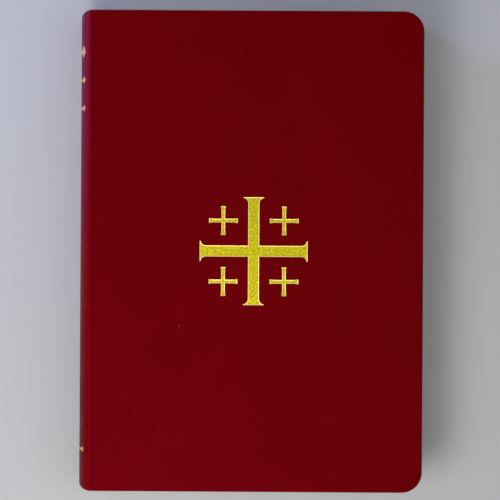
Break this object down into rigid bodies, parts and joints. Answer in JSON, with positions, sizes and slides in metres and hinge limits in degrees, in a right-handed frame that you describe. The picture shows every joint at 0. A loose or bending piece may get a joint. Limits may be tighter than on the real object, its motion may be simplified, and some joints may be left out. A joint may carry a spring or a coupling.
{
  "type": "prayer book",
  "caption": "Small sewn prayer book in a red leather case with rounded corners, a rounded spine and a gold cross emblem; both covers and the first leaves open.",
  "frame": {"origin": "bottom centre of the closed book, on the surface the back cover rests on", "axes": "+Y towards the head of the book along its longest side, +Z out through the front cover across its thickness, spine at -X"},
  "size_m": [0.1147, 0.16, 0.0239],
  "materials": {
    "cover_leather": "satin, fine grain",
    "board": "matt, uncoated",
    "endpaper": "matt, heavy paper",
    "page_paper": "matt, thin paper",
    "binding_cloth": "open cotton weave",
    "sewing_thread": "waxed linen",
    "end_band": "woven, red and cream",
    "gold_foil": "hot-pressed, satin"
  },
  "bodies": {
    "text_block": {"section_04": "page_paper", "section_05": "page_paper", "section_06": "page_paper", "section_07": "page_paper", "section_08": "page_paper", "section_09": "page_paper", "section_10": "page_paper", "section_11": "page_paper", "section_12": "page_paper", "sewing_thread_1": "sewing_thread", "sewing_thread_2": "sewing_thread", "sewing_thread_3": "sewing_thread", "sewing_thread_4": "sewing_thread", "sewing_thread_5": "sewing_thread", "sewing_thread_6": "sewing_thread", "mull_cloth": "binding_cloth", "spine_lining": "page_paper", "headband": "end_band", "tailband": "end_band", "spine_stiffener": "board", "spine_leather": "cover_leather", "spine_ornament_head": "gold_foil", "spine_ornament_upper": "gold_foil", "spine_ornament_lower": "gold_foil", "spine_ornament_tail": "gold_foil"},
    "front_cover": {"front_leather": "cover_leather", "front_board": "board", "front_pastedown": "endpaper", "cross_main": "gold_foil", "cross_head_spine": "gold_foil", "cross_head_fore": "gold_foil", "cross_tail_spine": "gold_foil", "cross_tail_fore": "gold_foil"},
    "first_leaf": {"front_flyleaf": "endpaper"},
    "first_section": {"section_01": "page_paper"},
    "second_section": {"section_02": "page_paper"},
    "third_section": {"section_03": "page_paper"},
    "back_cover": {"back_leather": "cover_leather", "back_board": "board", "back_pastedown": "endpaper"},
    "last_leaf": {"back_flyleaf": "endpaper"}
  },
  "joints": [
    {"name": "front_cover_hinge", "type": "hinge", "parent": "text_block", "child": "front_cover", "pos_m": [-0.05448, 0, 0.0241], "axis": [0, -1, 0], "range_deg": [0, 179.5]},
    {"name": "first_leaf_turn", "type": "hinge", "parent": "text_block", "child": "first_leaf", "pos_m": [-0.05448, 0, 0.0241], "axis": [0, -1, 0], "range_deg": [0, 177.8]},
    {"name": "first_section_turn", "type": "hinge", "parent": "text_block", "child": "first_section", "pos_m": [-0.05448, 0, 0.0241], "axis": [0, -1, 0], "range_deg": [0, 176]},
    {"name": "second_section_turn", "type": "hinge", "parent": "text_block", "child": "second_section", "pos_m": [-0.05448, 0, 0.0241], "axis": [0, -1, 0], "range_deg": [0, 174.2]},
    {"name": "third_section_turn", "type": "hinge", "parent": "text_block", "child": "third_section", "pos_m": [-0.05448, 0, 0.0241], "axis": [0, -1, 0], "range_deg": [0, 172.4]},
    {"name": "back_cover_hinge", "type": "hinge", "parent": "text_block", "child": "back_cover", "pos_m": [-0.0535, 0, 0.0008], "axis": [0, 1, 0], "range_deg": [0, 179.5]},
    {"name": "last_leaf_turn", "type": "hinge", "parent": "text_block", "child": "last_leaf", "pos_m": [-0.0535, 0, 0.0008], "axis": [0, 1, 0], "range_deg": [0, 177.8]}
  ],
  "couplings": [
    {"joint": "first_leaf_turn", "follows": "front_cover_hinge", "ratio": 0.99},
    {"joint": "first_section_turn", "follows": "front_cover_hinge", "ratio": 0.98},
    {"joint": "second_section_turn", "follows": "front_cover_hinge", "ratio": 0.97},
    {"joint": "third_section_turn", "follows": "front_cover_hinge", "ratio": 0.96},
    {"joint": "last_leaf_turn", "follows": "back_cover_hinge", "ratio": 0.99}
  ]
}
